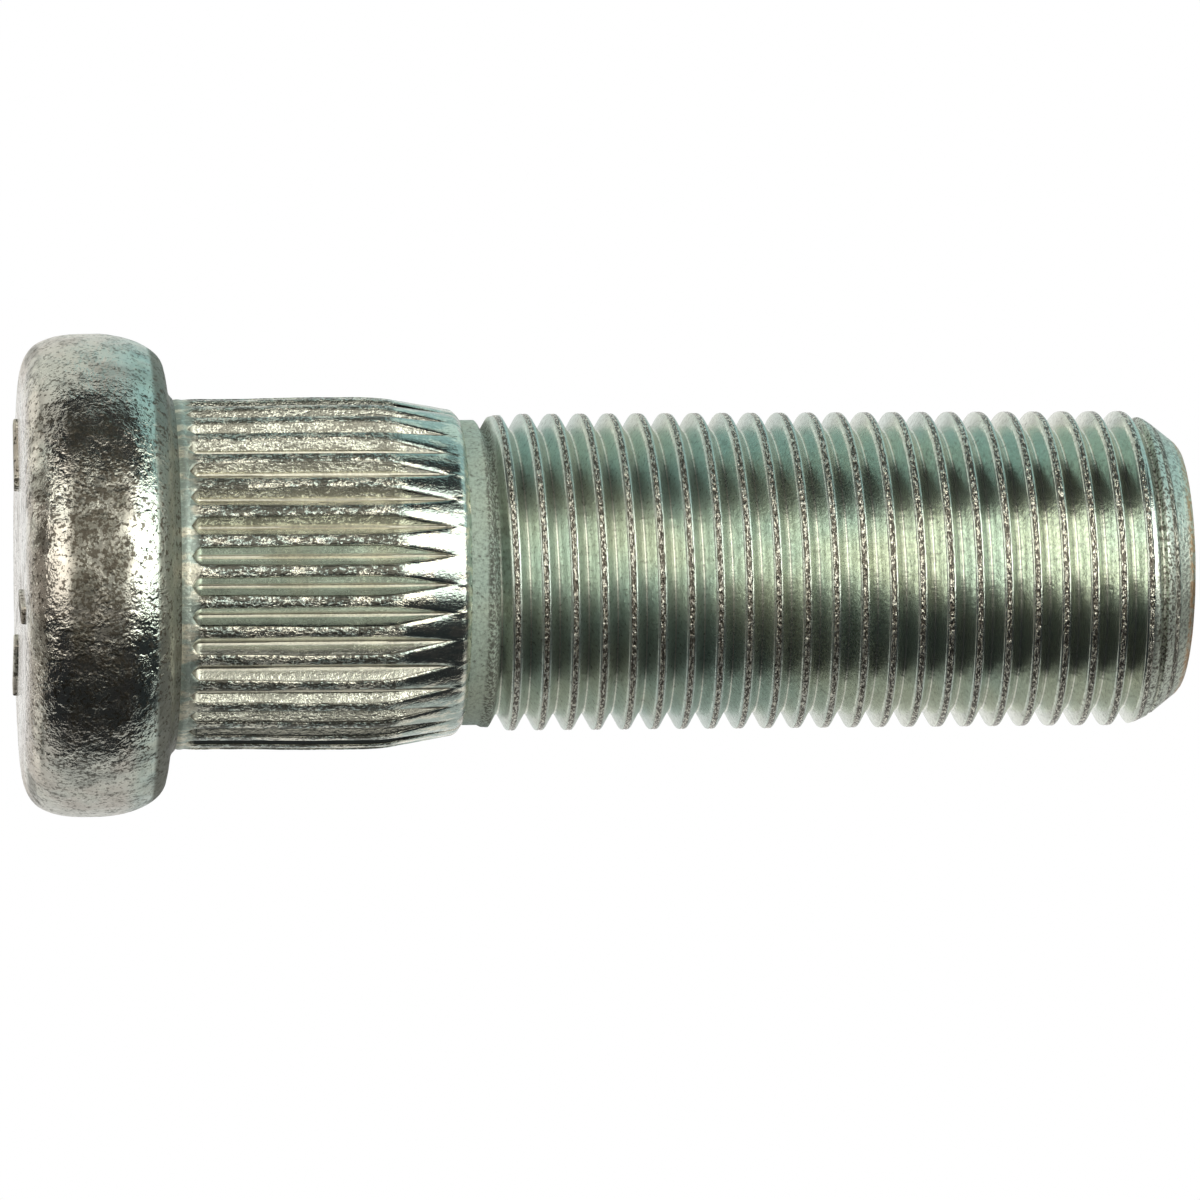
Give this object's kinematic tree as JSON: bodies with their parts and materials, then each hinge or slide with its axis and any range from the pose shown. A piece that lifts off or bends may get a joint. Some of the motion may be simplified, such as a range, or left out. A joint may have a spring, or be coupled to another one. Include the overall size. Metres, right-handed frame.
{
  "type": "wheel stud",
  "caption": "Press-in wheel stud with a round crowned head, straight knurl with a tapered lead-in, and a long fine right-hand thread.",
  "frame": {"origin": "on the axis, at the foot of the raised bars on the head's outer face, which the stud stands on", "axes": "+Z along the stud's axis, from the head to the threaded tip"},
  "size_m": [0.0238, 0.0236, 0.0573],
  "materials": {
    "zinc_plated_steel": "satin"
  },
  "bodies": {
    "root": {"wheel_stud": "zinc_plated_steel"}
  },
  "joints": []
}
